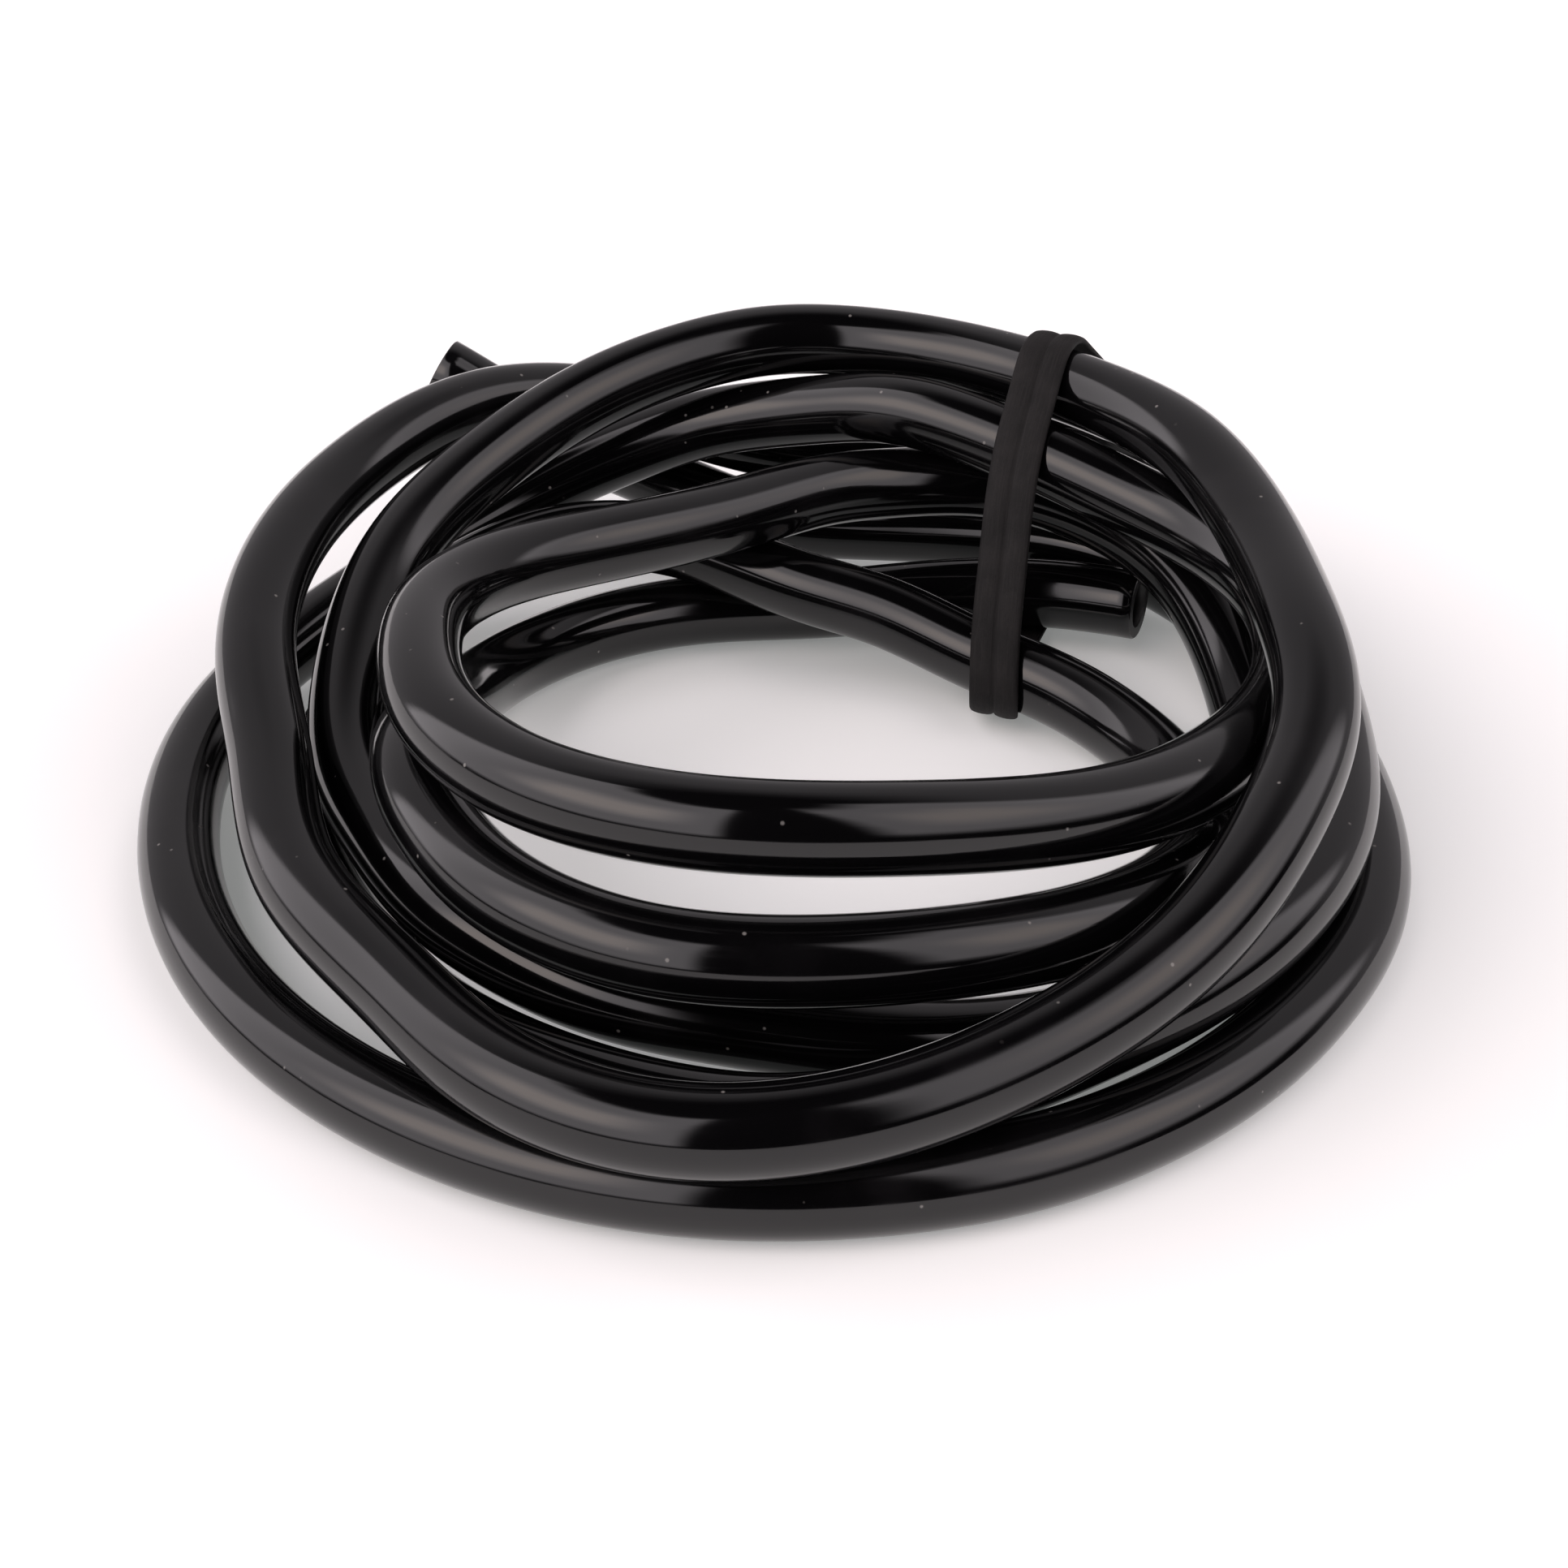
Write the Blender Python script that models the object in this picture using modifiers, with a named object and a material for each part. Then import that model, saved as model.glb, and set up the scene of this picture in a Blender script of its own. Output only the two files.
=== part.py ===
"""A coil of soft black hose, tied with a rubber band.

Two pieces:
  hose - one open-ended tube of 12 mm outside diameter, wound into a loose coil of six turns
  band - one flat rubber band, doubled, round the bundle of strands at the back right
Metres, +Z up, the surface it stands on is z = 0.
"""
import bpy
import bmesh
import math
import numpy as np

# hose
HOSE_OD = 0.012
HOSE_WALL = 0.002
POINTS_PER_TURN = 13          # tube rings in one turn of the coil, at the same angles in every turn
TUBE_RESOLUTION = 4           # 12 sides

# band
BAND_WIDTH = 0.008
BAND_THICKNESS = 0.0012
BAND_GAP = 0.0003             # between the band and the hose it holds
BAND_LINE = (2.8, 2.9), (4.9, 8.0)      # plan line that the band stands on, in hose diameters
BAND_LEAN = 0.05, 0.03, -0.06           # how the band drifts off that line, see band_drift
BAND_POINTS = 72

# the route's own rules, in hose diameters
STEP = 0.25                   # spacing of the points that are settled
STRAND_GAP = 1.05             # least distance between the centres of two strands
CHORD_GAP = 1.025             # the same, between the straight stretches from ring to ring
LEAST_BEND = 3.7              # radius
SETTLE_ROUNDS = 300
CHORD_ROUNDS = 80

# Where the middle of the finished coil lies, from the coil's winding centre.
COIL_MIDDLE = (-0.00148, 0.00921, 0)

# The winding, from the end at the back to the end inside the coil. Each station is the angle
# clockwise from the back in degrees, the radius, and the height above the lowest strand's centre,
# both in hose diameters.
TAIL = [(-30, 10.4, 2.0), (-24, 9.45, 1.3), (-15, 8.45, 0.7), (-5, 7.6, 0.3), (10, 7.25, 0.2),
        (25, 7.55, 0.25), (38, 7.95, 0.22), (52, 7.95, 0.05), (68, 7.6, 0)]
OUTER_RING = [(85, 7.4, 0), (105, 7.45, 0), (125, 7.45, 0), (145, 7.5, 0), (165, 7.5, 0),
              (190, 7.5, 0), (215, 7.45, 0), (240, 7.45, 0), (265, 7.55, 0), (288, 7.7, 0.05),
              (312, 7.45, 0.5), (332, 7.3, 1.25), (350, 7.0, 2.05)]
UPPER_BACK = [(370, 6.1, 2.6), (390, 5.75, 2.7), (408, 5.95, 2.5), (425, 6.4, 2.3),
              (445, 6.5, 2.1), (465, 6.05, 2.1)]
HIGH_RING = [(500, 5.5, 2.5), (525, 5.4, 2.95), (545, 5.4, 3.1), (570, 5.2, 3.05),
             (590, 4.85, 3.0), (612, 4.4, 2.9), (640, 4.1, 2.6), (668, 3.6, 2.3), (700, 3.6, 2.1),
             (722, 4.55, 1.95), (735, 5.6, 1.9), (748, 6.45, 1.8), (765, 7.0, 1.45),
             (780, 6.8, 0.95), (795, 6.45, 0.4)]
SECOND_RING = [(810, 6.3, 0.05), (835, 6.45, 0), (860, 6.0, 0), (880, 5.6, 0.1), (900, 5.15, 0.25),
               (925, 5.2, 0.5), (945, 5.25, 0.75), (966, 5.12, 0.95), (985, 5.3, 1.15),
               (1003, 5.5, 1.6), (1020, 5.75, 2.1)]
TOP_BACK = [(1040, 6.0, 2.6), (1062, 6.5, 3.1), (1087, 7.0, 3.3), (1105, 6.85, 3.3),
            (1123, 6.6, 3.3), (1140, 6.35, 3.25), (1160, 6.15, 3.1), (1180, 6.25, 2.9)]
OVER_RING = [(1195, 6.6, 2.6), (1208, 6.85, 2.25), (1222, 7.1, 1.8), (1240, 7.35, 1.3),
             (1262, 7.75, 1.03), (1278, 7.65, 1.04), (1295, 6.9, 1.12), (1315, 6.55, 1.3),
             (1335, 6.25, 1.6), (1352, 6.5, 1.95), (1370, 6.9, 2.25), (1390, 7.4, 2.45),
             (1408, 7.8, 2.5), (1425, 8.05, 1.85)]
HIDDEN_BACK = [(1445, 8.0, 1.1), (1460, 8.7, 1.4), (1473, 9.2, 1.7), (1487, 8.5, 1.65),
               (1500, 7.75, 1.6), (1515, 7.15, 1.35), (1530, 6.95, 1.08), (1548, 6.95, 1.0),
               (1565, 6.9, 0.92), (1585, 6.7, 0.72), (1602, 6.5, 0.3)]
LOW_RING = [(1620, 6.4, 0), (1650, 6.05, 0), (1680, 5.85, 0), (1710, 5.95, 0), (1735, 6.15, 0.2),
            (1755, 6.3, 1.0), (1772, 5.8, 1.3), (1788, 4.8, 1.1), (1803, 4.15, 0.85),
            (1822, 3.95, 0.65), (1842, 4.05, 0.35), (1863, 4.5, 0.2), (1888, 5.2, 0.1)]
INNER_RING = [(1912, 5.5, 0.7), (1935, 5.9, 1.25), (1958, 5.9, 1.6), (1980, 5.85, 1.7),
              (2008, 5.75, 1.8), (2025, 5.25, 1.85), (2045, 4.85, 1.8), (2062, 4.4, 1.4),
              (2080, 4.2, 0.9), (2100, 4.55, 0.35), (2125, 5.1, 0), (2150, 5.0, 0),
              (2172, 5.05, 0.1), (2190, 5.85, 0.2), (2209, 6.9, 0.3)]
WINDING = (TAIL + OUTER_RING + UPPER_BACK + HIGH_RING + SECOND_RING + TOP_BACK + OVER_RING
           + HIDDEN_BACK + LOW_RING + INNER_RING)


def clear_scene():
    for ob in list(bpy.data.objects):
        bpy.data.objects.remove(ob, do_unlink=True)


def new_collection(name):
    col = bpy.data.collections.new(name)
    bpy.context.scene.collection.children.link(col)
    return col


def material(name, colour, roughness):
    mat = bpy.data.materials.new(name)
    mat.use_nodes = True
    bsdf = mat.node_tree.nodes["Principled BSDF"]
    bsdf.inputs["Base Color"].default_value = (*colour, 1.0)
    bsdf.inputs["Roughness"].default_value = roughness
    bsdf.inputs["Metallic"].default_value = 0.0
    return mat


def natural_spline(knots, values, at):
    """Natural cubic spline through `values` at `knots`, read at `at`."""
    n = len(knots)
    h = np.diff(knots)
    system = np.eye(n)
    right = np.zeros(values.shape)
    for i in range(1, n - 1):
        system[i, i - 1:i + 2] = h[i - 1], 2 * (h[i - 1] + h[i]), h[i]
        right[i] = 6 * ((values[i + 1] - values[i]) / h[i] - (values[i] - values[i - 1]) / h[i - 1])
    m = np.linalg.solve(system, right)
    k = np.clip(np.searchsorted(knots, at) - 1, 0, n - 2)
    u = (at - knots[k])[:, None]
    v = (knots[k + 1] - at)[:, None]
    hk = h[k][:, None]
    curve = (m[k] * v ** 3 + m[k + 1] * u ** 3) / (6 * hk)
    return curve + (values[k] / hk - m[k] * hk / 6) * v + (values[k + 1] / hk - m[k + 1] * hk / 6) * u


def arc_length(points):
    return np.r_[0, np.cumsum(np.linalg.norm(np.diff(points, axis=0), axis=1))]


def wound_route():
    """Evenly spaced points along the winding, in hose diameters."""
    stations = np.array(WINDING, float)
    degrees = np.arange(stations[0, 0], stations[-1, 0] + 1e-6, 0.5)
    radius, height = natural_spline(stations[:, 0], stations[:, 1:], degrees).T
    turn = np.radians(degrees)
    points = np.stack([radius * np.sin(turn), radius * np.cos(turn), height], 1)
    run = arc_length(points)
    even = np.linspace(0, run[-1], int(run[-1] / STEP) + 1)
    return np.stack([np.interp(even, run, points[:, axis]) for axis in range(3)], 1)


def smooth_along(push, sigma):
    """Gaussian smoothing of a push along the route, sigma in points."""
    reach = int(3 * sigma)
    weight = np.exp(-0.5 * (np.arange(-reach, reach + 1) / sigma) ** 2)
    weight /= weight.sum()
    padded = np.pad(push, ((reach, reach), (0, 0)))
    return np.stack([np.convolve(padded[:, axis], weight, "valid") for axis in range(3)], 1)


def strand_push(points, a, b, gap):
    """Half the missing distance, apart, for each pair of points on strands that are too near."""
    apart = points[b] - points[a]
    distance = np.linalg.norm(apart, axis=1)
    hit = distance < gap
    a, b = a[hit], b[hit]
    half = apart[hit] / distance[hit, None] * (gap - distance[hit, None]) / 2
    push = np.zeros_like(points)
    count = np.zeros(len(points))
    np.add.at(push, a, -half)
    np.add.at(push, b, half)
    np.add.at(count, a, 1)
    np.add.at(count, b, 1)
    return push / np.maximum(count, 1)[:, None]


def bend_push(points, step):
    """What straightens each bend that is tighter than the hose takes."""
    reach = int(0.75 / step)
    bend = np.zeros_like(points)
    bend[reach:-reach] = (points[:-2 * reach] + points[2 * reach:]) / 2 - points[reach:-reach]
    size = np.linalg.norm(bend, axis=1)
    limit = 0.5 * (reach * step) ** 2 / LEAST_BEND
    return bend * np.maximum(1 - limit / np.maximum(size, 1e-9), 0)[:, None]


def settle(points):
    """Nudge the strands apart, off the surface below, and out of over-tight bends."""
    points = points.copy()
    step = arc_length(points)[-1] / (len(points) - 1)
    i, j = np.triu_indices(len(points), int(2.2 / step))
    for count in range(SETTLE_ROUNDS):
        if count % 10 == 0:
            near = np.linalg.norm(points[i] - points[j], axis=1) < STRAND_GAP + 0.35
            a, b = i[near], j[near]
        push = strand_push(points, a, b, STRAND_GAP) + bend_push(points, step)
        push[:, 2] -= np.minimum(points[:, 2], 0)
        points += smooth_along(push, 0.8 / step) * 1.2
    return points


def hose_route():
    """The settled centreline in metres, with the lowest strand lying on z = 0."""
    points = settle(wound_route())
    points[:, 2] += 0.5
    return points * HOSE_OD - np.array(COIL_MIDDLE)


def winding_angle(route):
    """Degrees turned about the winding centre, growing along the route."""
    x, y = route[:, 0] + COIL_MIDDLE[0], route[:, 1] + COIL_MIDDLE[1]
    return np.degrees(np.unwrap(np.arctan2(x, y)))


def ring_points(route):
    """Points of the route at the same angles in every turn, with both ends."""
    angle = winding_angle(route)
    pitch = 360 / POINTS_PER_TURN
    inside = np.arange(math.ceil(angle[0] / pitch + 0.4), angle[-1] / pitch - 0.4) * pitch
    at = np.r_[angle[0], inside, angle[-1]]
    return clear_chords(np.stack([np.interp(at, angle, route[:, axis]) for axis in range(3)], 1))


def clear_chords(rings):
    """Part the rings a little more, so that the straight stretches between them clear too."""
    share = 10
    at = np.arange((len(rings) - 1) * share + 1) / share
    weight = np.maximum(1 - np.abs(at[:, None] - np.arange(len(rings))), 0)
    i, j = np.triu_indices(len(at), 3 * share)
    for count in range(CHORD_ROUNDS):
        points = weight @ rings
        near = np.linalg.norm(points[i] - points[j], axis=1) < CHORD_GAP * HOSE_OD
        push = strand_push(points, i[near], j[near], CHORD_GAP * HOSE_OD)
        rings = rings + weight.T @ push / weight.sum(0)[:, None] * 3
        rings[:, 2] = np.maximum(rings[:, 2], HOSE_OD / 2 - COIL_MIDDLE[2])
    return rings


def poly_curve(name, points, cyclic=False):
    curve = bpy.data.curves.new(name, "CURVE")
    curve.dimensions = "3D"
    spline = curve.splines.new("POLY")
    spline.points.add(len(points) - 1)
    spline.points.foreach_set("co", np.c_[points, np.ones(len(points))].ravel())
    spline.use_cyclic_u = cyclic
    return curve


def mesh_from_curve(name, curve, collection, mat, weld=1e-6):
    """A mesh object with the curve's evaluated shape."""
    source = bpy.data.objects.new(name + "_curve", curve)
    collection.objects.link(source)
    bpy.context.view_layer.update()
    evaluated = source.evaluated_get(bpy.context.evaluated_depsgraph_get())
    mesh = bpy.data.meshes.new_from_object(evaluated)
    bpy.data.objects.remove(source, do_unlink=True)
    bm = bmesh.new()
    bm.from_mesh(mesh)
    bmesh.ops.remove_doubles(bm, verts=bm.verts, dist=weld)
    bmesh.ops.recalc_face_normals(bm, faces=bm.faces)
    bm.to_mesh(mesh)
    bm.free()
    mesh.name = name
    mesh.shade_smooth()
    mesh.materials.clear()
    mesh.materials.append(mat)
    ob = bpy.data.objects.new(name, mesh)
    collection.objects.link(ob)
    return ob


def make_hose(collection, rings, mat):
    curve = poly_curve("hose", rings)
    curve.bevel_depth = HOSE_OD / 2
    curve.bevel_resolution = TUBE_RESOLUTION
    hose = mesh_from_curve("hose", curve, collection, mat)
    wall = hose.modifiers.new("wall", "SOLIDIFY")
    wall.thickness = HOSE_WALL
    wall.offset = -1
    wall.use_even_offset = True
    return hose


def band_axes():
    """The band's own plane: a point, the direction along it, and its width's direction."""
    near, far = np.array(BAND_LINE) * HOSE_OD
    middle = np.r_[(near + far) / 2, 0] - np.array(COIL_MIDDLE)
    along = np.r_[far - near, 0]
    along /= np.linalg.norm(along)
    across = np.array([along[1], -along[0], 0])
    return middle, along, across


def band_drift(along):
    """Sideways drift of the band at this distance along its line: a u^2 + b u + c in diameters."""
    a, b, c = BAND_LEAN
    u = along / HOSE_OD
    return (a * u ** 2 + b * u + c) * HOSE_OD


def tube_surface(centres, radius, count=48):
    """Points on the tube round each of the closely spaced centres."""
    along = np.gradient(centres, axis=0)
    along /= np.linalg.norm(along, axis=1)[:, None]
    side = np.cross(along, (0, 0, 1))
    side /= np.linalg.norm(side, axis=1)[:, None]
    up = np.cross(side, along)
    turn = np.linspace(0, 2 * np.pi, count, endpoint=False)
    ring = side[:, None] * np.cos(turn)[:, None] + up[:, None] * np.sin(turn)[:, None]
    return (centres[:, None] + radius * ring).reshape(-1, 3)


def bundle_outline(rings, middle, along, across):
    """Convex outline, in the band's plane, of every strand that passes under the band."""
    fine = np.linspace(0, len(rings) - 1, 60 * len(rings))
    centres = np.stack([np.interp(fine, np.arange(len(rings)), rings[:, axis]) for axis in range(3)], 1)
    surface = tube_surface(centres, HOSE_OD / 2 + BAND_GAP)
    off = surface - middle
    u = off @ along
    under = (np.abs(off @ across - band_drift(u)) < BAND_WIDTH / 2 + BAND_GAP) & (np.abs(u) < 4 * HOSE_OD)
    return convex_hull(np.stack([u[under], surface[under, 2]], 1))


def convex_hull(points):
    """Corners of the convex hull, anticlockwise."""
    order = points[np.lexsort((points[:, 1], points[:, 0]))]

    def chain(ordered):
        line = []
        for p in ordered:
            while len(line) > 1:
                a, b = line[-1] - line[-2], p - line[-1]
                if a[0] * b[1] - a[1] * b[0] > 0:
                    break
                line.pop()
            line.append(p)
        return line[:-1]

    return np.array(chain(order) + chain(order[::-1]))


def even_loop(corners, count):
    """`count` evenly spaced points round a closed outline."""
    loop = np.vstack([corners, corners[:1]])
    run = arc_length(loop)
    at = np.linspace(0, run[-1], count, endpoint=False)
    return np.stack([np.interp(at, run, loop[:, axis]) for axis in range(2)], 1)


def make_band(collection, rings, mat):
    middle, along, across = band_axes()
    outline = even_loop(bundle_outline(rings, middle, along, across), BAND_POINTS)
    line = middle + np.outer(outline[:, 0], along) + np.outer(outline[:, 1], (0, 0, 1))
    line += np.outer(band_drift(outline[:, 0]), across)
    edges = [line - across * BAND_WIDTH / 2, line + across * BAND_WIDTH / 2]
    bm = bmesh.new()
    rims = [[bm.verts.new(p) for p in edge] for edge in edges]
    for k in range(BAND_POINTS):
        n = (k + 1) % BAND_POINTS
        bm.faces.new((rims[0][k], rims[0][n], rims[1][n], rims[1][k]))
    mesh = bpy.data.meshes.new("band")
    bm.to_mesh(mesh)
    bm.free()
    mesh.shade_smooth()
    mesh.materials.append(mat)
    band = bpy.data.objects.new("band", mesh)
    collection.objects.link(band)
    thick = band.modifiers.new("thickness", "SOLIDIFY")
    thick.thickness = BAND_THICKNESS
    thick.offset = 1
    thick.use_even_offset = True
    return band


def report(ob):
    evaluated = ob.evaluated_get(bpy.context.evaluated_depsgraph_get())
    mesh = evaluated.to_mesh()
    co = np.array([tuple(ob.matrix_world @ v.co) for v in mesh.vertices])
    print(ob.name, len(mesh.polygons), "faces, from", co.min(0).round(5), "to", co.max(0).round(5))
    evaluated.to_mesh_clear()
    return co


def main():
    clear_scene()
    coil = new_collection("hose_coil")
    black = material("hose_black", (0.012, 0.012, 0.014), 0.12)
    charcoal = material("band_charcoal", (0.035, 0.032, 0.030), 0.75)
    route = hose_route()
    rings = ring_points(route)
    hose = make_hose(coil, rings, black)
    band = make_band(coil, rings, charcoal)
    bpy.context.view_layer.update()
    co = np.vstack([report(hose), report(band)])
    print("length", arc_length(route)[-1].round(4))
    print("middle off by", ((co.min(0) + co.max(0)) / 2)[:2].round(5), "bottom", co[:, 2].min().round(5))


main()
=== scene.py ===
# %% [markdown]
# # A coil of soft black hose
#
# Three metres of smooth, glossy black hose lie on a pale table in a loose coil of six turns. A flat
# rubber band, doubled, ties the strands together at the back right. Both ends of the hose are cut
# square and left open.
#
# The lesson goes in this order: the frame, the camera, the route that the hose takes, the tube
# built along that route, the band round the bundle, the finishes, and the studio.

import math

import bpy
import numpy as np
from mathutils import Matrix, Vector


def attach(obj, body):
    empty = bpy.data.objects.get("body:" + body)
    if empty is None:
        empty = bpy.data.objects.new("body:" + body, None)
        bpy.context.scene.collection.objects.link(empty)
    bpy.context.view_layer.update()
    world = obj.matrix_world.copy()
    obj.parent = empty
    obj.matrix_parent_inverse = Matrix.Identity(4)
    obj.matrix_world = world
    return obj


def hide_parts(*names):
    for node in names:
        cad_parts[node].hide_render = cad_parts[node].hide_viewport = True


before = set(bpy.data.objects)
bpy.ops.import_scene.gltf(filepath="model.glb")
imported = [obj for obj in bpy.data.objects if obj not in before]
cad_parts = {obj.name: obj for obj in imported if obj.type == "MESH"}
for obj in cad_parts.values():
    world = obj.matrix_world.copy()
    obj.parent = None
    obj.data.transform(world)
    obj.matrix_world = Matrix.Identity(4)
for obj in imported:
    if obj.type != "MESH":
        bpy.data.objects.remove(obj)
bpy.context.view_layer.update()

# %% [markdown]
# ## Sizes
#
# Everything is measured in hose diameters and turned into metres at the end. The band is two 4 mm
# strands side by side, so its section is a pair of low lobes with a groove between them.

# %% Sizes
HOSE_OD = 0.012
BORE = 0.008
BAND_WIDTH = 0.0082
BAND_THICKNESS = 0.0012
BAND_GAP = 0.0003
STRAND_GAP = 1.05                      # least distance between strand centres, in diameters
LEAST_BEND = 3.7                       # bends of a smaller radius are eased, in diameters
COIL_MIDDLE = (-0.00148, 0.00921)      # the finished coil's middle, from its winding centre
print("wall", round((HOSE_OD - BORE) / 2 * 1000, 2), "mm")

# %% [markdown]
# ## Camera
#
# The view is a short telephoto looking 33 degrees down, along +Y, with the coil's winding centre
# almost in the middle. The distance is 31 hose diameters. A long lens close in would flatten the
# rings, and a short one would spread the near ones.

# %% Camera
VIEW_DISTANCE = 31 * HOSE_OD
VIEW_DOWN = math.radians(33)
SENSOR, LENS = 36, 55.45                # mm
SHIFT = 0.0047, 0.0057                  # of the picture's width


def add_camera():
    data = bpy.data.cameras.new("camera")
    data.sensor_width = SENSOR
    data.lens = LENS
    data.shift_x, data.shift_y = SHIFT
    data.clip_start = 0.01
    camera = bpy.data.objects.new("camera", data)
    bpy.context.scene.collection.objects.link(camera)
    aim = Vector((-COIL_MIDDLE[0], -COIL_MIDDLE[1], HOSE_OD / 2))
    back = Vector((0, -math.cos(VIEW_DOWN), math.sin(VIEW_DOWN)))
    camera.location = aim + back * VIEW_DISTANCE
    camera.rotation_mode = "QUATERNION"
    camera.rotation_quaternion = (-back).to_track_quat("-Z", "Y")
    bpy.context.scene.camera = camera
    return camera


camera = add_camera()
print("camera at", [round(v, 3) for v in camera.location])

# %% [markdown]
# ## The winding
#
# The hose is followed from the end at the back, clockwise seen from above. A station is an angle
# from the back in degrees, a radius, and a height above the lowest strand's centre. One turn is 360
# degrees, so 1195 is the fourth time that the hose passes the right-hand side.

# %% Stations of the winding
TAIL = [(-30, 10.4, 2.0), (-24, 9.45, 1.3), (-15, 8.45, 0.7), (-5, 7.6, 0.3), (10, 7.25, 0.2),
        (25, 7.55, 0.25), (38, 7.95, 0.22), (52, 7.95, 0.05), (68, 7.6, 0)]
OUTER_RING = [(85, 7.4, 0), (105, 7.45, 0), (125, 7.45, 0), (145, 7.5, 0), (165, 7.5, 0),
              (190, 7.5, 0), (215, 7.45, 0), (240, 7.45, 0), (265, 7.55, 0), (288, 7.7, 0.05),
              (312, 7.45, 0.5), (332, 7.3, 1.25), (350, 7.0, 2.05)]
UPPER_BACK = [(370, 6.1, 2.6), (390, 5.75, 2.7), (408, 5.95, 2.5), (425, 6.4, 2.3),
              (445, 6.5, 2.1), (465, 6.05, 2.1)]
HIGH_RING = [(500, 5.5, 2.5), (525, 5.4, 2.95), (545, 5.4, 3.1), (570, 5.2, 3.05),
             (590, 4.85, 3.0), (612, 4.4, 2.9), (640, 4.1, 2.6), (668, 3.6, 2.3), (700, 3.6, 2.1),
             (722, 4.55, 1.95), (735, 5.6, 1.9), (748, 6.45, 1.8), (765, 7.0, 1.45),
             (780, 6.8, 0.95), (795, 6.45, 0.4)]
SECOND_RING = [(810, 6.3, 0.05), (835, 6.45, 0), (860, 6.0, 0), (880, 5.6, 0.1), (900, 5.15, 0.25),
               (925, 5.2, 0.5), (945, 5.25, 0.75), (966, 5.12, 0.95), (985, 5.3, 1.15),
               (1003, 5.5, 1.6), (1020, 5.75, 2.1)]
TOP_BACK = [(1040, 6.0, 2.6), (1062, 6.5, 3.1), (1087, 7.0, 3.3), (1105, 6.85, 3.3),
            (1123, 6.6, 3.3), (1140, 6.35, 3.25), (1160, 6.15, 3.1), (1180, 6.25, 2.9)]
OVER_RING = [(1195, 6.6, 2.6), (1208, 6.85, 2.25), (1222, 7.1, 1.8), (1240, 7.35, 1.3),
             (1262, 7.75, 1.03), (1278, 7.65, 1.04), (1295, 6.9, 1.12), (1315, 6.55, 1.3),
             (1335, 6.25, 1.6), (1352, 6.5, 1.95), (1370, 6.9, 2.25), (1390, 7.4, 2.45),
             (1408, 7.8, 2.5), (1425, 8.05, 1.85)]
HIDDEN_BACK = [(1445, 8.0, 1.1), (1460, 8.7, 1.4), (1473, 9.2, 1.7), (1487, 8.5, 1.65),
               (1500, 7.75, 1.6), (1515, 7.15, 1.35), (1530, 6.95, 1.08), (1548, 6.95, 1.0),
               (1565, 6.9, 0.92), (1585, 6.7, 0.72), (1602, 6.5, 0.3)]
LOW_RING = [(1620, 6.4, 0), (1650, 6.05, 0), (1680, 5.85, 0), (1710, 5.95, 0), (1735, 6.15, 0.2),
            (1755, 6.3, 1.0), (1772, 5.8, 1.3), (1788, 4.8, 1.1), (1803, 4.15, 0.85),
            (1822, 3.95, 0.65), (1842, 4.05, 0.35), (1863, 4.5, 0.2), (1888, 5.2, 0.1)]
INNER_RING = [(1912, 5.5, 0.7), (1935, 5.9, 1.25), (1958, 5.9, 1.6), (1980, 5.85, 1.7),
              (2008, 5.75, 1.8), (2025, 5.25, 1.85), (2045, 4.85, 1.8), (2062, 4.4, 1.4),
              (2080, 4.2, 0.9), (2100, 4.55, 0.35), (2125, 5.1, 0), (2150, 5.0, 0),
              (2172, 5.05, 0.1), (2190, 5.85, 0.2), (2209, 6.9, 0.3)]
WINDING = (TAIL + OUTER_RING + UPPER_BACK + HIGH_RING + SECOND_RING + TOP_BACK + OVER_RING
           + HIDDEN_BACK + LOW_RING + INNER_RING)
print(len(WINDING), "stations over", WINDING[-1][0] - WINDING[0][0], "degrees")

# %% [markdown]
# A natural cubic spline reads radius and height as smooth functions of the angle, and the points
# are then spaced evenly along the line.

# %% A smooth line through the stations


def natural_spline(knots, values, at):
    """Cubic pieces with continuous second derivative m, and m = 0 at both ends."""
    n = len(knots)
    h = np.diff(knots)
    system = np.eye(n)
    right = np.zeros(values.shape)
    for i in range(1, n - 1):
        system[i, i - 1:i + 2] = h[i - 1], 2 * (h[i - 1] + h[i]), h[i]
        right[i] = 6 * ((values[i + 1] - values[i]) / h[i] - (values[i] - values[i - 1]) / h[i - 1])
    m = np.linalg.solve(system, right)
    k = np.clip(np.searchsorted(knots, at) - 1, 0, n - 2)
    u = (at - knots[k])[:, None]
    v = (knots[k + 1] - at)[:, None]
    hk = h[k][:, None]
    curve = (m[k] * v ** 3 + m[k + 1] * u ** 3) / (6 * hk)
    return curve + (values[k] / hk - m[k] * hk / 6) * v + (values[k + 1] / hk - m[k + 1] * hk / 6) * u


def arc_length(points):
    return np.r_[0, np.cumsum(np.linalg.norm(np.diff(points, axis=0), axis=1))]


def evenly(points, spacing):
    """Points a fixed distance apart along a densely drawn line."""
    run = arc_length(points)
    at = np.linspace(0, run[-1], int(run[-1] / spacing) + 1)
    return np.stack([np.interp(at, run, points[:, axis]) for axis in range(3)], 1)


def wound_line(spacing=0.25):
    stations = np.array(WINDING, float)
    degrees = np.arange(stations[0, 0], stations[-1, 0] + 1e-6, 0.5)
    radius, height = natural_spline(stations[:, 0], stations[:, 1:], degrees).T
    turn = np.radians(degrees)
    return evenly(np.stack([radius * np.sin(turn), radius * np.cos(turn), height], 1), spacing)


wound = wound_line()
print(len(wound), "points,", round(arc_length(wound)[-1] * HOSE_OD, 3), "m of hose")

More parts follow.
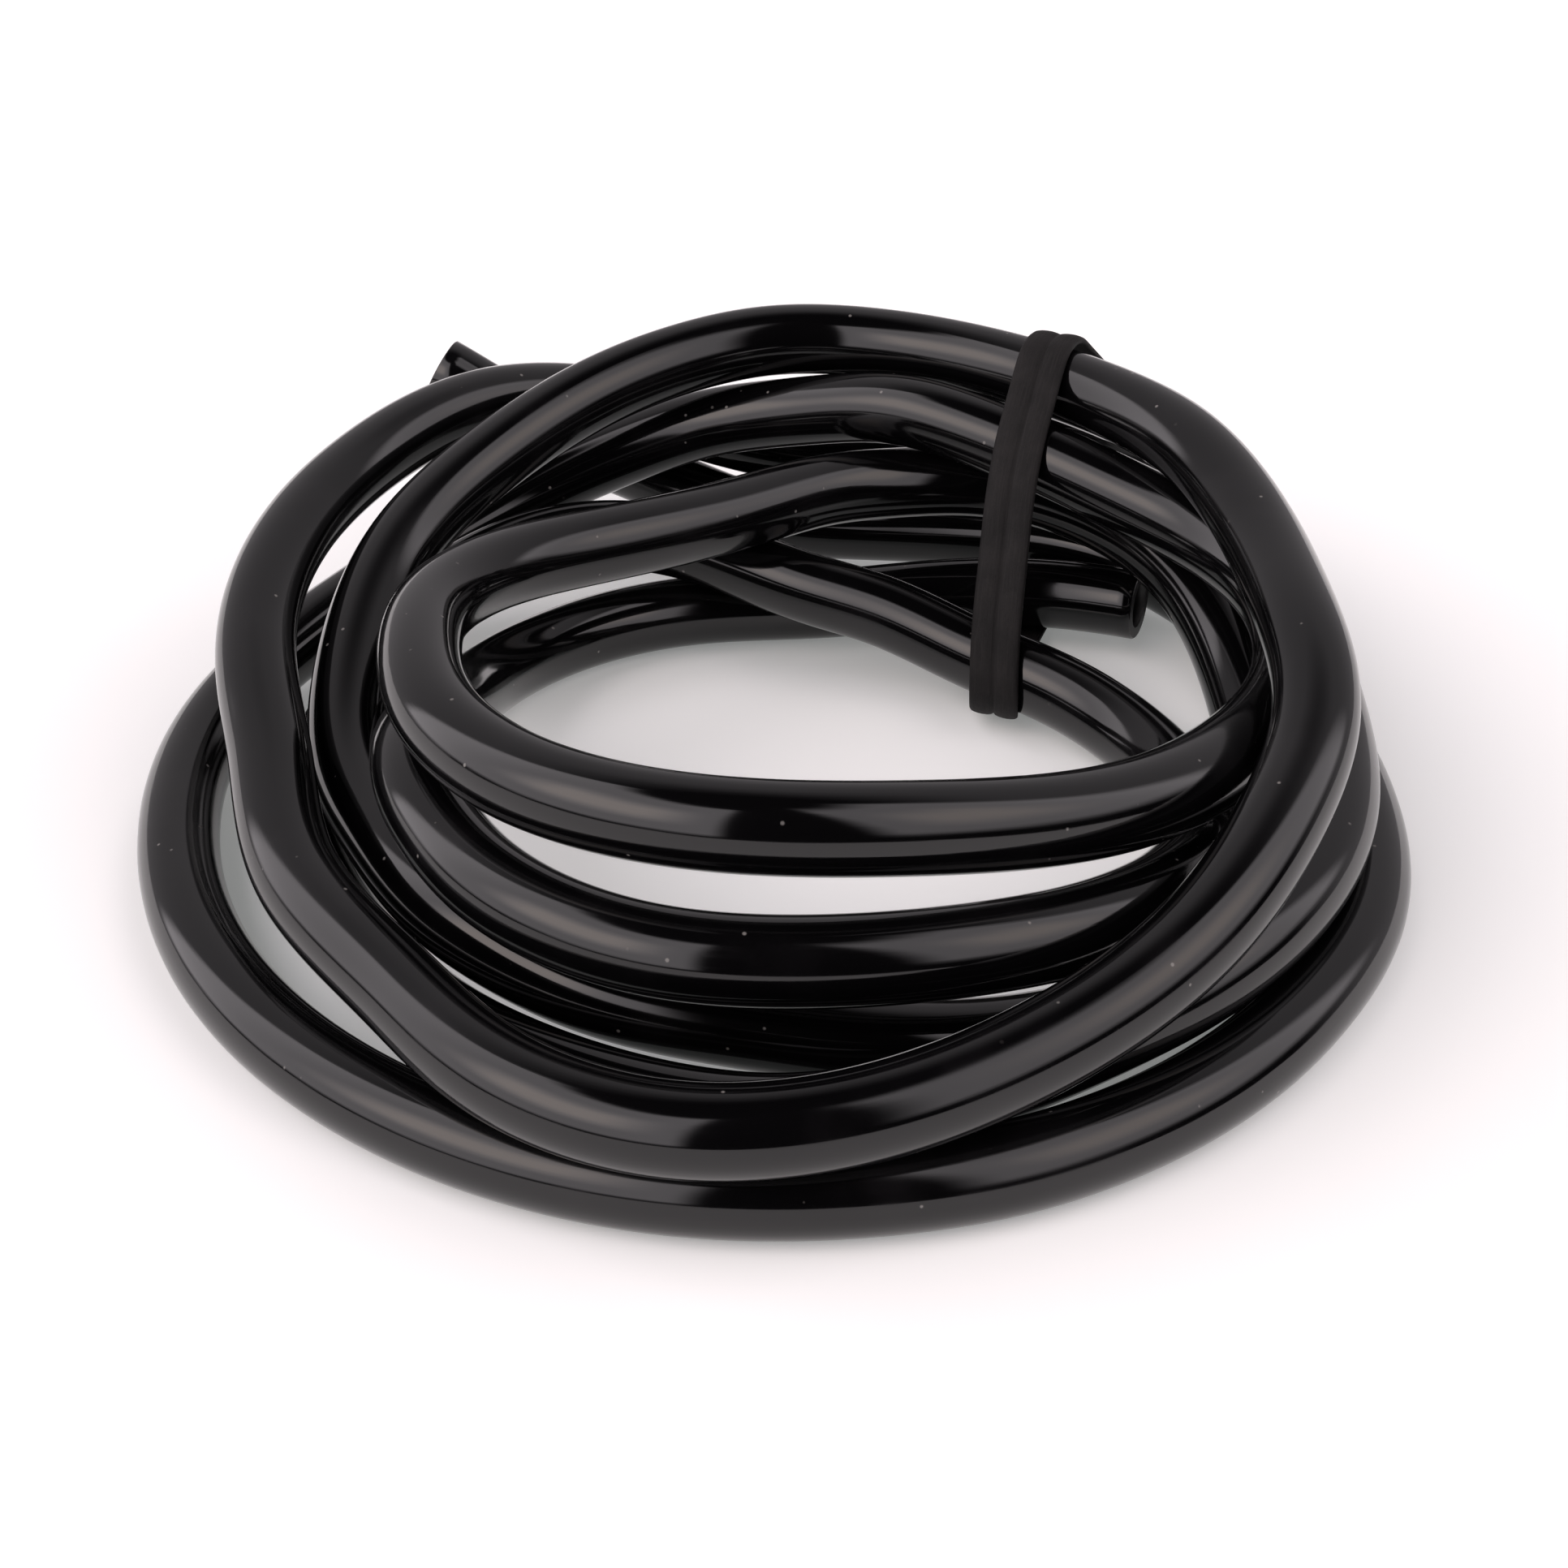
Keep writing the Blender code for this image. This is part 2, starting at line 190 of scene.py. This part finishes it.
# %% [markdown]
# ## Settling
#
# The listed stations let strands brush through each other here and there. Three small pushes,
# smoothed along the hose and repeated, settle them: strands that are too near part, what is below
# the table rises, and a bend that is too tight opens.

# %% Settling the strands


def smooth_along(push, sigma):
    """Gaussian smoothing of a push along the line, sigma in points."""
    reach = int(3 * sigma)
    weight = np.exp(-0.5 * (np.arange(-reach, reach + 1) / sigma) ** 2)
    weight /= weight.sum()
    padded = np.pad(push, ((reach, reach), (0, 0)))
    return np.stack([np.convolve(padded[:, axis], weight, "valid") for axis in range(3)], 1)


def strand_push(points, a, b, gap):
    """Half the missing distance, apart, for each pair of points that are too near."""
    apart = points[b] - points[a]
    distance = np.linalg.norm(apart, axis=1)
    hit = distance < gap
    a, b = a[hit], b[hit]
    half = apart[hit] / distance[hit, None] * (gap - distance[hit, None]) / 2
    push = np.zeros_like(points)
    count = np.zeros(len(points))
    np.add.at(push, a, -half)
    np.add.at(push, b, half)
    np.add.at(count, a, 1)
    np.add.at(count, b, 1)
    return push / np.maximum(count, 1)[:, None]


def bend_push(points, step):
    """What straightens each bend that is tighter than the hose takes."""
    reach = int(0.75 / step)
    bend = np.zeros_like(points)
    bend[reach:-reach] = (points[:-2 * reach] + points[2 * reach:]) / 2 - points[reach:-reach]
    size = np.linalg.norm(bend, axis=1)
    limit = 0.5 * (reach * step) ** 2 / LEAST_BEND
    return bend * np.maximum(1 - limit / np.maximum(size, 1e-9), 0)[:, None]


def settle(points, rounds=300):
    points = points.copy()
    step = arc_length(points)[-1] / (len(points) - 1)
    i, j = np.triu_indices(len(points), int(2.2 / step))
    for count in range(rounds):
        if count % 10 == 0:
            near = np.linalg.norm(points[i] - points[j], axis=1) < STRAND_GAP + 0.35
            a, b = i[near], j[near]
        push = strand_push(points, a, b, STRAND_GAP) + bend_push(points, step)
        push[:, 2] -= np.minimum(points[:, 2], 0)
        points += smooth_along(push, 0.8 / step) * 1.2
    return points


settled = settle(wound)
moved = np.linalg.norm(settled - wound, axis=1) * HOSE_OD * 1000
print("settling moved the hose by", moved.mean().round(2), "mm on average and", moved.max().round(2), "at most")

# %% [markdown]
# The settled points go into metres with the lowest strand lying on the table, and a second spline,
# over arc length this time, reads a ring's centre every 1.4 mm.

# %% The centreline in metres
RING_SPACING = 0.0014


def centreline(points):
    line = points * HOSE_OD
    line[:, 2] += HOSE_OD / 2
    line[:, :2] -= COIL_MIDDLE
    run = arc_length(line)
    fine = natural_spline(run, line, np.linspace(0, run[-1], int(run[-1] / RING_SPACING) * 2))
    return evenly(fine, RING_SPACING)


line = centreline(settled)

# %% [markdown]
# ## The tube
#
# Each ring stands square to the line. Its first direction is carried from ring to ring with the
# least turning, so that nothing twists. The wall is a second, smaller tube inside the first, joined
# to it by the two cut faces. A hose that has been wound is never perfectly round, so its section is
# very slightly oval, and the oval drifts round as it goes.

# %% Directions carried along the line


def carried_frames(line):
    """Tangents, and two normals turned as little as possible from one point to the next."""
    tangent = np.gradient(line, axis=0)
    tangent /= np.linalg.norm(tangent, axis=1)[:, None]
    side = np.zeros_like(line)
    side[0] = np.cross(tangent[0], (0, 0, 1))
    side[0] /= np.linalg.norm(side[0])
    for k in range(1, len(line)):
        flat = side[k - 1] - tangent[k] * (side[k - 1] @ tangent[k])
        side[k] = flat / np.linalg.norm(flat)
    return tangent, side, np.cross(tangent, side)


tangent, side, up = carried_frames(line)
print("ring normals stay square to the line within", np.abs((side * tangent).sum(1)).max().round(9))

# %% Points of one wall of the tube


def wall(rows, radius, count):
    """Ring k, point j: line[k] + r(k, t) (side cos t + up sin t), with t = 2 pi j / count.

    r = radius (1 + 0.006 cos(2t + 11 s)) where s is the length along the hose in metres.
    """
    t = np.linspace(0, 2 * np.pi, count, endpoint=False)
    s = rows * RING_SPACING
    oval = 1 + 0.006 * np.cos(2 * t[None] + 11 * s[:, None])
    r = np.broadcast_to(np.asarray(radius)[..., None], (len(rows), 1)) * oval
    ring = side[rows][:, None] * np.cos(t)[:, None] + up[rows][:, None] * np.sin(t)[:, None]
    return line[rows][:, None] + r[..., None] * ring


OUTER_COUNT, INNER_COUNT = 32, 16
EDGE = 0.00025                          # how far the knife rounds the cut edge
outer_rows = np.arange(len(line))
inner_rows = np.r_[np.arange(0, len(line) - 1, 2), len(line) - 1]
print(len(outer_rows), "outer rings and", len(inner_rows), "inner rings")

# %% [markdown]
# The faces come in five sets: the outer wall, the two rounded edges, the two flat cut faces, and
# the bore. One outer ring has twice the points of an inner one, so each cut face is a ring of
# five-sided faces.

# %% The tube as one closed mesh


def ring_faces(first, second, count):
    """Quads between two rings whose points start at these numbers."""
    k = np.arange(count)
    n = (k + 1) % count
    return np.stack([first + k, first + n, second + n, second + k], 1)


def strip_faces(start, rings, count):
    return np.vstack([ring_faces(start + r * count, start + (r + 1) * count, count) for r in range(rings - 1)])


def cut_faces(outer, inner, forward):
    """Five-sided faces from an outer ring to an inner one of half its points.

    They face along the hose if forward, and back along it if not.
    """
    faces = []
    for k in range(INNER_COUNT):
        n = (k + 1) % INNER_COUNT
        face = [outer + 2 * k, outer + 2 * k + 1, outer + (2 * k + 2) % OUTER_COUNT, inner + n, inner + k]
        faces.append(face if forward else face[::-1])
    return faces


def tube_mesh():
    skin_radius = np.full(len(outer_rows), HOSE_OD / 2)
    skin_radius[[0, -1]] -= EDGE
    points = wall(outer_rows, skin_radius, OUTER_COUNT)
    points[1] += tangent[0] * (EDGE - RING_SPACING)
    points[-2] -= tangent[-1] * (EDGE - RING_SPACING)
    bore = wall(inner_rows, np.full(len(inner_rows), BORE / 2), INNER_COUNT)
    split = points.shape[0] * OUTER_COUNT
    skin = strip_faces(0, len(outer_rows), OUTER_COUNT)
    lining = strip_faces(split, len(inner_rows), INNER_COUNT)[:, ::-1]
    cuts = cut_faces(0, split, False)
    cuts += cut_faces(split - OUTER_COUNT, split + (len(inner_rows) - 1) * INNER_COUNT, True)
    mesh = bpy.data.meshes.new("hose_visual")
    faces = skin.tolist() + lining.tolist() + cuts
    mesh.from_pydata(np.vstack([points.reshape(-1, 3), bore.reshape(-1, 3)]).tolist(), [], faces)
    return mesh, len(skin), len(lining)


mesh, skin_count, lining_count = tube_mesh()
print(len(mesh.vertices), "points,", len(mesh.polygons), "faces")

# %% [markdown]
# The finish needs to know how far along the hose and how far round it a point is, and whether it is
# on the skin or on a cut face or in the bore. The first two go into the UV map, the third into a
# face attribute.

# %% UV map and the cut attribute


def loop_uv(mesh):
    """U in metres along the hose, V from 0 to 1 round it, without a jump inside any face."""
    rows = np.r_[np.repeat(outer_rows, OUTER_COUNT), np.repeat(inner_rows, INNER_COUNT)]
    around = np.r_[np.tile(np.arange(OUTER_COUNT) / OUTER_COUNT, len(outer_rows)),
                   np.tile(np.arange(INNER_COUNT) / INNER_COUNT, len(inner_rows))]
    index = np.empty(len(mesh.loops), int)
    mesh.loops.foreach_get("vertex_index", index)
    start = np.empty(len(mesh.polygons), int)
    mesh.polygons.foreach_get("loop_start", start)
    v = around[index]
    face = np.repeat(np.arange(len(start)), np.diff(np.r_[start, len(index)]))
    high = np.maximum.reduceat(v, start)
    v = np.where((high[face] > 0.75) & (v < 0.25), v + 1, v)
    return np.stack([rows[index] * RING_SPACING, v], 1)


mesh.uv_layers.new(name="along").data.foreach_set("uv", loop_uv(mesh).ravel())
cut = np.zeros(len(mesh.polygons), np.float32)
cut[skin_count:] = 1
mesh.attributes.new("cut", "FLOAT", "FACE").data.foreach_set("value", cut)
mesh.polygons.foreach_set("use_smooth", np.r_[np.ones(skin_count + lining_count, bool),
                                              np.zeros(len(mesh.polygons) - skin_count - lining_count, bool)])
mesh.update()
hose = bpy.data.objects.new("hose_visual", mesh)
bpy.context.scene.collection.objects.link(hose)
print("cut and bore faces", int(cut.sum()))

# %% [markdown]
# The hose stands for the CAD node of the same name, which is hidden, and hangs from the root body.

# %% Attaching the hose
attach(hose, "root")
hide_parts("hose")

# %% [markdown]
# ## The band
#
# The band stands upright on a plan line that crosses the bundle. Stretched rubber takes the
# shortest way round, so its path is the convex outline of every strand that it holds, seen along
# its own width. The outline is read from the tube's own surface where it passes under the band.

# %% The bundle's outline in the band's plane
BAND_LINE = (2.8, 2.9), (4.9, 8.0)
BAND_LEAN = 0.05, 0.03, -0.06           # a u^2 + b u + c, in diameters, is the drift off that line
near, far = np.array(BAND_LINE) * HOSE_OD
band_middle = np.r_[(near + far) / 2 - COIL_MIDDLE, 0]
band_along = np.r_[far - near, 0] / np.linalg.norm(far - near)
band_across = np.array([band_along[1], -band_along[0], 0])


def band_drift(along):
    a, b, c = BAND_LEAN
    u = along / HOSE_OD
    return (a * u ** 2 + b * u + c) * HOSE_OD


def convex_hull(points):
    """Corners of the convex hull, anticlockwise."""
    order = points[np.lexsort((points[:, 1], points[:, 0]))]

    def chain(ordered):
        corners = []
        for p in ordered:
            while len(corners) > 1:
                a, b = corners[-1] - corners[-2], p - corners[-1]
                if a[0] * b[1] - a[1] * b[0] > 0:
                    break
                corners.pop()
            corners.append(p)
        return corners[:-1]

    return np.array(chain(order) + chain(order[::-1]))


def bundle_outline():
    rows = np.arange(len(line))
    surface = wall(rows, np.full(len(rows), HOSE_OD / 2 + BAND_GAP), 64).reshape(-1, 3)
    off = surface - band_middle
    u = off @ band_along
    under = (np.abs(off @ band_across - band_drift(u)) < BAND_WIDTH / 2) & (np.abs(u) < 4 * HOSE_OD)
    return convex_hull(np.stack([u[under], surface[under, 2]], 1))


outline = bundle_outline()
print(len(outline), "corners; band from", (outline[:, 1].min() * 1000).round(1), "to",
      (outline[:, 1].max() * 1000).round(1), "mm above the table")

# %% [markdown]
# The corners are drawn again as an even loop and eased a little, because rubber bends gently round
# a strand instead of folding. Easing only ever moves a point outward.

# %% The band's path


def band_path(corners, count=320):
    loop = np.vstack([corners, corners[:1]])
    run = arc_length(loop)
    at = np.linspace(0, run[-1], count, endpoint=False)
    path = np.stack([np.interp(at, run, loop[:, axis]) for axis in range(2)], 1)
    eased = path.copy()
    for _ in range(12):
        eased = eased / 2 + (np.roll(eased, 1, 0) + np.roll(eased, -1, 0)) / 4
    centre = path.mean(0)
    lost = np.linalg.norm(path - centre, axis=1) - np.linalg.norm(eased - centre, axis=1)
    outward = (eased - centre) / np.linalg.norm(eased - centre, axis=1)[:, None]
    return eased + outward * max(lost.max(), 0)


path = band_path(outline)
band_run = arc_length(np.vstack([path, path[:1]]))[-1]
print("band loop", (band_run * 1000).round(1), "mm round")

# %% The band's section


def band_section(count=24):
    """Closed section: (across, out), both in metres, two lobes wide.

    The outer side is h(x) = T (0.55 + 0.45 |sin(pi x / (W/2))|^0.45) for x across the band from
    -W/2 to W/2, so it dips between the two strands and falls at both edges. The inner side is flat.
    """
    x = np.linspace(-0.5, 0.5, count + 1)
    lobes = np.abs(np.sin(2 * np.pi * x)) ** 0.45
    top = np.stack([x * BAND_WIDTH, BAND_THICKNESS * (0.55 + 0.45 * lobes)], 1)
    bottom = np.stack([x[::-1] * BAND_WIDTH, np.zeros(count + 1)], 1)
    bottom[[0, -1], 0] *= 0.985
    return np.vstack([top, bottom])


def band_mesh():
    """Point (k, j) is path[k] + out(k) * section[j].out + across * section[j].across, plus a slow
    sideways drift of 0.25 mm so that the two edges are not ruled lines."""
    section = band_section()
    along = np.roll(path, -1, 0) - np.roll(path, 1, 0)
    along /= np.linalg.norm(along, axis=1)[:, None]
    out = np.stack([along[:, 1], -along[:, 0]], 1)
    turn = np.arange(len(path)) / len(path) * 2 * np.pi
    drift = 0.00014 * np.sin(3 * turn + 0.6) + 0.00011 * np.sin(7 * turn)
    flat = path[:, None] + out[:, None] * section[None, :, 1:2]
    sideways = section[None, :, 0] + (drift + band_drift(path[:, 0]))[:, None]
    points = (band_middle * [1, 1, 0] + flat[..., :1] * band_along + flat[..., 1:] * np.array([0, 0, 1])
              + sideways[..., None] * band_across)
    n, m = points.shape[:2]
    k, j = np.meshgrid(np.arange(n), np.arange(m), indexing="ij")
    a, b = (k + 1) % n, (j + 1) % m
    faces = np.stack([k * m + j, a * m + j, a * m + b, k * m + b], -1).reshape(-1, 4)
    mesh = bpy.data.meshes.new("band_visual")
    mesh.from_pydata(points.reshape(-1, 3).tolist(), [], faces.tolist())
    uv = np.stack([np.stack([k, k + 1, k + 1, k], -1) / n * band_run,
                   np.stack([j, j, j + 1, j + 1], -1) / m], -1).reshape(-1, 2)
    mesh.uv_layers.new(name="along").data.foreach_set("uv", uv.ravel())
    mesh.polygons.foreach_set("use_smooth", np.ones(len(mesh.polygons), bool))
    mesh.update()
    return mesh


band = bpy.data.objects.new("band_visual", band_mesh())
bpy.context.scene.collection.objects.link(band)
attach(band, "root")
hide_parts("band")
print(len(band.data.polygons), "faces in the band")

# %% [markdown]
# ## A small shader language
#
# A socket is wrapped in a class with the arithmetic operators, so that a formula reads as one.

# %% Shader maths


class Val:
    """A shader value: a socket with +, -, *, /, ** and a few named functions."""

    def __init__(self, tree, socket):
        self.tree, self.socket = tree, socket

    def maths(self, operation, *others, clamp=False):
        node = self.tree.nodes.new("ShaderNodeMath")
        node.operation = operation
        node.use_clamp = clamp
        for slot, value in zip(node.inputs, (self,) + others):
            plug(self.tree, slot, value)
        return Val(self.tree, node.outputs[0])

    def __add__(self, other):
        return self.maths("ADD", other)

    def __radd__(self, other):
        return self.maths("ADD", other)

    def __sub__(self, other):
        return self.maths("SUBTRACT", other)

    def __rsub__(self, other):
        return self.maths("MULTIPLY_ADD", -1.0, other)

    def __mul__(self, other):
        return self.maths("MULTIPLY", other)

    def __rmul__(self, other):
        return self.maths("MULTIPLY", other)

    def __truediv__(self, other):
        return self.maths("DIVIDE", other)

    def __rtruediv__(self, other):
        return (self ** -1.0) * other

    def __pow__(self, other):
        return self.maths("POWER", other)

    def above(self, low, high):
        """0 up to low, 1 from high, smooth between."""
        ramp = ((self - low) / (high - low)).maths("ADD", 0.0, clamp=True)
        return ramp * ramp * (3.0 - 2.0 * ramp)


def plug(tree, slot, value):
    if isinstance(value, Val):
        tree.links.new(value.socket, slot)
    else:
        slot.default_value = value


class Shader:
    """A material's or world's tree, with one method for any node."""

    def __init__(self, owner):
        owner.use_nodes = True
        self.tree = owner.node_tree
        self.nodes = self.tree.nodes

    def node(self, kind, settings=None, **inputs):
        made = self.nodes.new(kind)
        for key, value in (settings or {}).items():
            setattr(made, key, value)
        for key, value in inputs.items():
            plug(self.tree, made.inputs[key.replace("_", " ")], value)
        return made

    def out(self, node, name):
        return Val(self.tree, node.outputs[name])

    def noise(self, vector, scale, detail=3.0):
        made = self.node("ShaderNodeTexNoise", Vector=vector, Scale=scale, Detail=detail)
        return self.out(made, "Fac")

    def stretched(self, vector, scale):
        made = self.node("ShaderNodeMapping", Vector=vector, Scale=scale)
        return self.out(made, "Vector")

    def blend(self, factor, low, high):
        made = self.node("ShaderNodeMix", {"data_type": "RGBA"})
        plug(self.tree, made.inputs["Factor"], factor)
        plug(self.tree, made.inputs[6], low)
        plug(self.tree, made.inputs[7], high)
        return Val(self.tree, made.outputs[2])

    def bump(self, height, distance, strength=1.0):
        made = self.node("ShaderNodeBump", Height=height, Distance=distance, Strength=strength)
        return self.out(made, "Normal")


print("shader helpers ready")

# %% [markdown]
# ## Finishes
#
# The hose is extruded vinyl: almost black, smooth, with a clear gloss. Handling leaves faint dull
# patches, dust leaves fine pale specks, and extrusion leaves lines too faint to see except where
# they break up a reflection. The cut faces and the bore are dull.

# %% Hose finish


def hose_material():
    mat = bpy.data.materials.new("hose_black")
    s = Shader(mat)
    bsdf = s.nodes["Principled BSDF"]
    place = s.out(s.node("ShaderNodeTexCoord"), "Object")
    uv = s.out(s.node("ShaderNodeUVMap", {"uv_map": "along"}), "UV")
    cut = s.out(s.node("ShaderNodeAttribute", {"attribute_name": "cut"}), "Fac")
    cell = s.node("ShaderNodeTexVoronoi", Vector=place, Scale=420.0)
    pick = s.out(s.node("ShaderNodeSeparateColor", Color=s.out(cell, "Color")), "Red")
    speck = (1.0 - s.out(cell, "Distance").above(0.06, 0.15)) * pick.above(0.90, 0.93)
    cloud = s.noise(place, 55.0, 4.0)
    handled = cloud.above(0.50, 0.72)
    film = s.noise(s.stretched(uv, (14.0, 9.0, 1.0)), 3.0, 5.0).above(0.55, 0.8)
    black = s.blend(handled, (0.0018, 0.0017, 0.0020, 1), (0.0040, 0.0037, 0.0042, 1))
    dusty = s.blend(speck * (1.0 - cut) * 0.7, black, (0.22, 0.21, 0.20, 1))
    plug(s.tree, bsdf.inputs["Base Color"], s.blend(cut, dusty, (0.012, 0.0115, 0.012, 1)))
    rough = 0.085 + 0.05 * handled + 0.05 * film + 0.3 * speck
    plug(s.tree, bsdf.inputs["Roughness"], rough * (1.0 - cut) + 0.5 * cut)
    bsdf.inputs["IOR"].default_value = 1.5
    lines = s.noise(s.stretched(uv, (8.0, 90.0, 1.0)), 1.0, 2.0)
    ripple = s.noise(s.stretched(uv, (45.0, 5.0, 1.0)), 1.0, 2.0)
    knife = s.noise(place, 900.0, 3.0) * cut
    height = 0.10 * lines + 0.5 * ripple + 0.6 * knife
    plug(s.tree, bsdf.inputs["Normal"], s.bump(height, 0.00004))
    return mat


hose.data.materials.append(hose_material())
print("hose finish set")

# %% Band finish


def band_material():
    mat = bpy.data.materials.new("band_charcoal")
    s = Shader(mat)
    bsdf = s.nodes["Principled BSDF"]
    place = s.out(s.node("ShaderNodeTexCoord"), "Object")
    uv = s.out(s.node("ShaderNodeUVMap", {"uv_map": "along"}), "UV")
    fibre = s.noise(s.stretched(uv, (160.0, 70.0, 1.0)), 1.0, 5.0)
    grain = s.noise(place, 2600.0, 2.0)
    bloom = s.noise(place, 170.0, 4.0)
    grey = s.blend(bloom.above(0.35, 0.7), (0.0060, 0.0055, 0.0057, 1), (0.0115, 0.0104, 0.0106, 1))
    tone = s.blend(fibre.above(0.45, 0.75) * 0.5, grey, (0.020, 0.018, 0.018, 1))
    plug(s.tree, bsdf.inputs["Base Color"], tone)
    plug(s.tree, bsdf.inputs["Roughness"], 0.66 + 0.16 * grain)
    bsdf.inputs["Specular IOR Level"].default_value = 0.22
    plug(s.tree, bsdf.inputs["Normal"], s.bump(0.6 * fibre + 0.4 * grain, 0.00012))
    return mat


band.data.materials.append(band_material())
print("band finish set")

# %% [markdown]
# ## The studio
#
# Black gloss shows only what is around it, so the studio is drawn as the world: a pale wall behind
# that fades out overhead, a broad soft window at the front left, another at the front right, each
# with a warmer middle, and darkness between them and above. The table is a plain pale sheet.

# %% Table
TABLE_GLOW = 0.2                        # lifts the table a little under the coil, like a light table


def pale_material():
    mat = bpy.data.materials.new("table_pale")
    s = Shader(mat)
    bsdf = s.nodes["Principled BSDF"]
    place = s.out(s.node("ShaderNodeTexCoord"), "Object")
    tone = s.blend(s.noise(place, 9.0), (0.89, 0.885, 0.89, 1), (0.92, 0.915, 0.92, 1))
    plug(s.tree, bsdf.inputs["Base Color"], tone)
    bsdf.inputs["Roughness"].default_value = 0.75
    bsdf.inputs["Emission Color"].default_value = (0.97, 1, 0.98, 1)
    bsdf.inputs["Emission Strength"].default_value = TABLE_GLOW
    return mat


bpy.ops.mesh.primitive_plane_add(size=8, location=(0, 0, -0.0001))
table = bpy.context.object
table.name = "table"
table.data.materials.append(pale_material())
print("table", table.dimensions[:2])

# %% Light all round
DARK = 0.005                            # strengths
BACK_WALL = 0.45
LEFT_WINDOW, LEFT_CORE = 1.9, 2.0
RIGHT_WINDOW, RIGHT_CORE = 1.6, 1.0
PALE, WARM = (1, 0.935, 0.97, 1), (1, 0.88, 0.84, 1)

# Each patch of light: (from, to, soft edge) round the table, then up from it, in degrees.
LEFT_PATCH = (-120.0, -14.0, 3.0), (4.0, 68.0, 3.0)
LEFT_CORE_PATCH = (-80.0, -30.0, 12.0), (25.0, 50.0, 9.0)
RIGHT_PATCH = (30.0, 112.0, 6.0), (14.0, 74.0, 6.0)
RIGHT_CORE_PATCH = (50.0, 90.0, 12.0), (32.0, 56.0, 10.0)


def soft_range(value, low, high, edge):
    return value.above(low - edge, low + edge) * (1.0 - value.above(high - edge, high + edge))


def patch(round_to, height, sides):
    return soft_range(round_to, *sides[0]) * soft_range(height, *sides[1])


def studio_world():
    world = bpy.data.worlds.new("studio")
    bpy.context.scene.world = world
    s = Shader(world)
    place = s.out(s.node("ShaderNodeTexCoord"), "Generated")
    split = s.node("ShaderNodeSeparateXYZ", Vector=place)
    x, y, z = (s.out(split, axis) for axis in "XYZ")
    height = z.maths("ARCSINE") * (180 / math.pi)
    round_to = x.maths("ARCTAN2", y * -1.0) * (180 / math.pi)
    behind = y.above(0.0, 0.35) * (1.0 - height.above(45.0, 75.0)) * BACK_WALL
    left = patch(round_to, height, LEFT_PATCH)
    right = patch(round_to, height, RIGHT_PATCH)
    left_core = patch(round_to, height, LEFT_CORE_PATCH)
    right_core = patch(round_to, height, RIGHT_CORE_PATCH)
    level = (DARK + behind + left * LEFT_WINDOW + right * RIGHT_WINDOW
             + left_core * LEFT_CORE + right_core * RIGHT_CORE)
    back = s.nodes["Background"]
    plug(s.tree, back.inputs["Color"], s.blend(left_core.maths("MAXIMUM", right_core), PALE, WARM))
    plug(s.tree, back.inputs["Strength"], level)


studio_world()
bpy.context.scene.view_settings.view_transform = "Standard"
print("studio lit")
